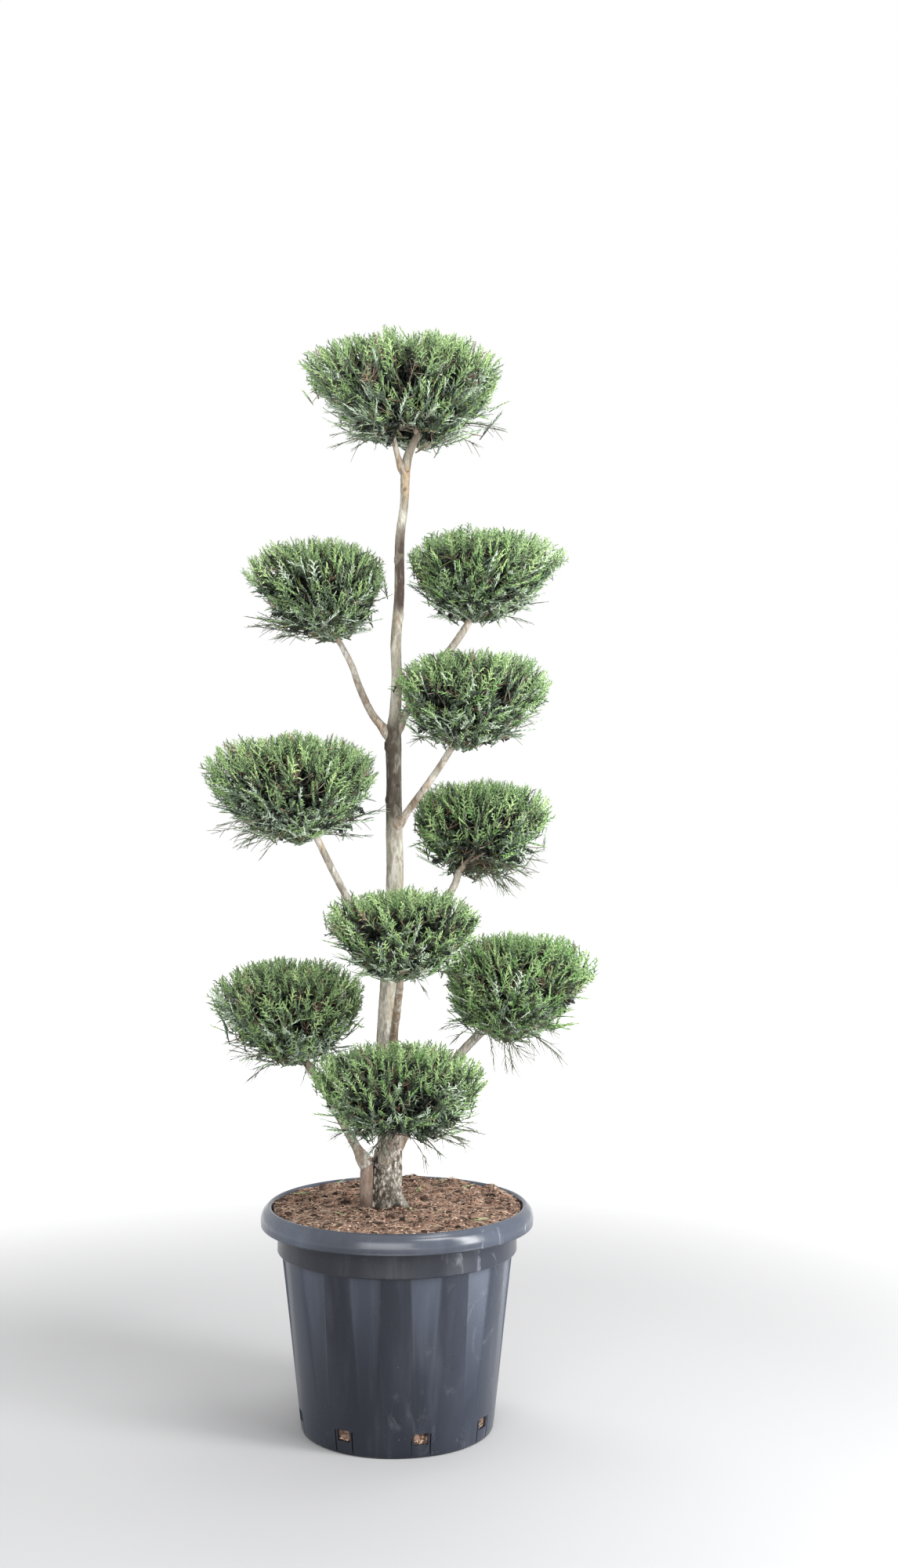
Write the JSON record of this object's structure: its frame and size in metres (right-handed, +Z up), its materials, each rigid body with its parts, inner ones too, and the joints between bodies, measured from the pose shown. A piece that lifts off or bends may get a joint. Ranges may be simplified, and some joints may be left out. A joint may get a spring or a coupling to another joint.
{
  "type": "potted leyland cypress, cloud-pruned",
  "caption": "Cloud-pruned conifer with clipped pads of feathery foliage on bare boughs, standing in a round black nursery pot.",
  "frame": {"origin": "centre of the pot's flat underside, on the pot's axis", "axes": "+Z up along the pot's axis; -Y towards the side seen in the picture; +X to the right in that view"},
  "size_m": [0.5818, 0.4328, 1.5865],
  "materials": {
    "pot_plastic": "satin black plastic with a blue-grey sheen and light scuffs",
    "soil": "rough fibrous brown peat and coir",
    "trunk_bark": "grey-beige bark, flaky and fissured at the foot and smooth higher up",
    "bough_bark": "smooth grey-beige bark with orange-brown patches",
    "foliage": "matt green sprays of scale leaves"
  },
  "bodies": {
    "root": {"pot": "pot_plastic", "soil": "soil", "trunk": "trunk_bark", "side_stem": "trunk_bark", "bough_top_left": "bough_bark", "bough_upper_left": "bough_bark", "bough_upper_right": "bough_bark", "bough_mid_right": "bough_bark", "bough_mid_left": "bough_bark", "bough_right": "bough_bark", "bough_centre": "bough_bark", "bough_lower_right": "bough_bark", "bough_lower_left": "bough_bark", "bough_bottom": "bough_bark", "foliage_top": "foliage", "foliage_upper_left": "foliage", "foliage_upper_right": "foliage", "foliage_mid_right": "foliage", "foliage_mid_left": "foliage", "foliage_right": "foliage", "foliage_centre": "foliage", "foliage_lower_right": "foliage", "foliage_lower_left": "foliage", "foliage_bottom": "foliage"}
  },
  "joints": []
}
